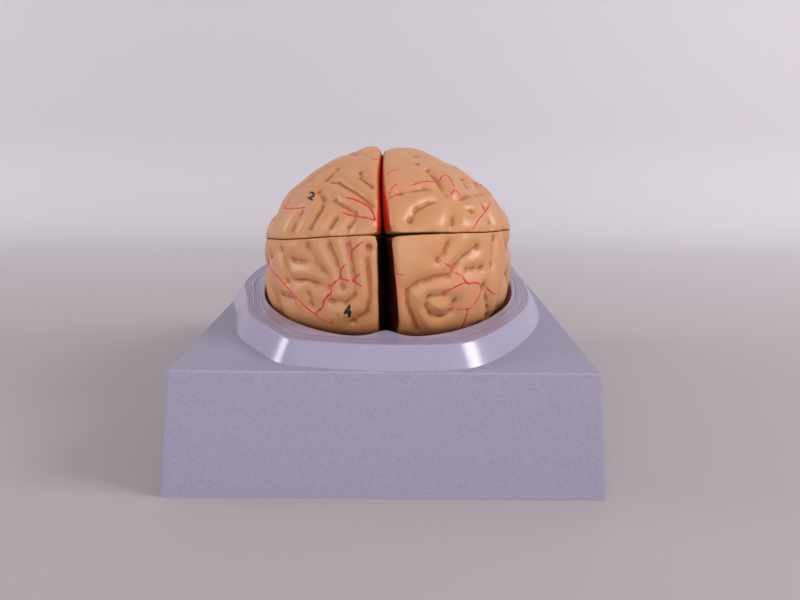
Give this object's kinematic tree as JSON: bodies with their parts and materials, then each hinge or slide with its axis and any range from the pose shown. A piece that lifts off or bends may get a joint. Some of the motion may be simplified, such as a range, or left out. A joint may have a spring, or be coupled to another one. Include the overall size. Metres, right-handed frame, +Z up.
{
  "type": "brain anatomy model",
  "caption": "Take-apart anatomical brain model in eight pieces, seated in a skull-base cup with a wavy rim on a drafted rectangular desk stand.",
  "frame": {"origin": "on the desk, under the middle of the stand", "axes": "+Z up, +Y towards the forehead end of the brain, +X towards the model's right side"},
  "size_m": [0.198, 0.226, 0.1489],
  "materials": {
    "stand_plastic": "satin, finely grained lavender moulding",
    "cup_plastic": "semi-gloss lavender moulding",
    "brain_vinyl": "soft flesh-coloured vinyl with brown wash in the furrows",
    "hind_vinyl": "soft flesh-coloured vinyl",
    "pin_steel": "plain turned steel"
  },
  "bodies": {
    "root": {"stand_housing": "stand_plastic", "skull_base_cup": "cup_plastic", "lower_left_lobe": "brain_vinyl", "left_cerebellum": "hind_vinyl", "left_brainstem": "hind_vinyl", "left_lobe_pins": "pin_steel", "lower_right_lobe": "brain_vinyl", "right_cerebellum": "hind_vinyl", "right_brainstem": "hind_vinyl", "right_lobe_pins": "pin_steel", "midline_pins": "pin_steel", "hind_pins": "pin_steel"},
    "upper_left": {"upper_left_lobe": "brain_vinyl"},
    "upper_right": {"upper_right_lobe": "brain_vinyl"}
  },
  "joints": [
    {"name": "upper_left_lift", "type": "slide", "parent": "root", "child": "upper_left", "axis": [0, 0.165, 0.9863], "range_m": [0, 0.06]},
    {"name": "upper_right_lift", "type": "slide", "parent": "root", "child": "upper_right", "axis": [0, 0.165, 0.9863], "range_m": [0, 0.06]}
  ]
}
